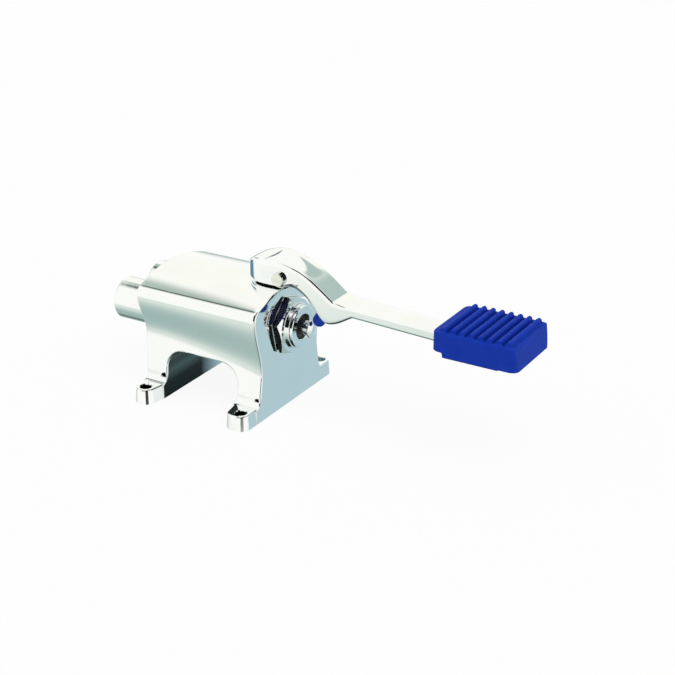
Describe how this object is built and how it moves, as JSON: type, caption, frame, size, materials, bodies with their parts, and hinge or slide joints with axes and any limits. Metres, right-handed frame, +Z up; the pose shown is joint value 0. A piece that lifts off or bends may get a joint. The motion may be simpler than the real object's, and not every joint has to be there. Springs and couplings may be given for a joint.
{
  "type": "foot pedal tap valve",
  "caption": "Floor-mounted foot valve for a tap: chrome saddle casting with rear pipe ports and a hinged lever with a ribbed blue rubber pedal that pushes a sprung spindle.",
  "frame": {"origin": "centre of the four fixing holes, on the floor", "axes": "+X towards the pedal along the valve axis, +Z up, +Y across the body to the outlet side"},
  "size_m": [0.269, 0.1028, 0.0996],
  "materials": {
    "chrome_casting": "polished and chrome plated",
    "chrome_turned": "turned, polished and chrome plated",
    "steel": "ground stainless steel",
    "spring_steel": "drawn stainless spring wire",
    "brass": "turned, uncoated",
    "black_rubber": "moulded, smooth",
    "fibre": "pressed fibre sheet",
    "blue_bumper": "moulded, smooth and slightly glossy",
    "blue_rubber": "moulded, satin"
  },
  "bodies": {
    "body": {"valve_body": "chrome_casting", "valve_seat": "brass", "seat_gasket": "fibre", "headwork": "chrome_turned", "flange_gasket": "black_rubber", "bonnet_o_rings": "black_rubber", "gland_nut": "chrome_turned", "spindle_seals": "black_rubber", "wiper_ring": "black_rubber", "pivot_bush": "brass", "return_spring": "spring_steel"},
    "spindle": {"spindle": "steel", "spring_collar": "brass", "valve_disc": "brass", "seat_washer": "black_rubber", "disc_nut": "brass", "spindle_cap": "chrome_turned"},
    "lever": {"pedal_lever": "chrome_casting", "hinge_pin": "chrome_turned", "bumper": "blue_bumper", "pedal_pad": "blue_rubber"}
  },
  "joints": [
    {"name": "pedal_hinge", "type": "hinge", "parent": "body", "child": "lever", "pos_m": [0.0405, 0, 0.084], "axis": [0, 1, 0], "range_deg": [0, 12], "stiffness_Nm_per_rad": 6, "springref_deg": -17.19},
    {"name": "spindle_slide", "type": "slide", "parent": "body", "child": "spindle", "axis": [-1, 0, 0], "range_m": [0, 0.007], "deforming": ["return_spring"]}
  ],
  "couplings": [
    {"joint": "spindle_slide", "follows": "pedal_hinge", "m_per_rad": 0.033}
  ]
}
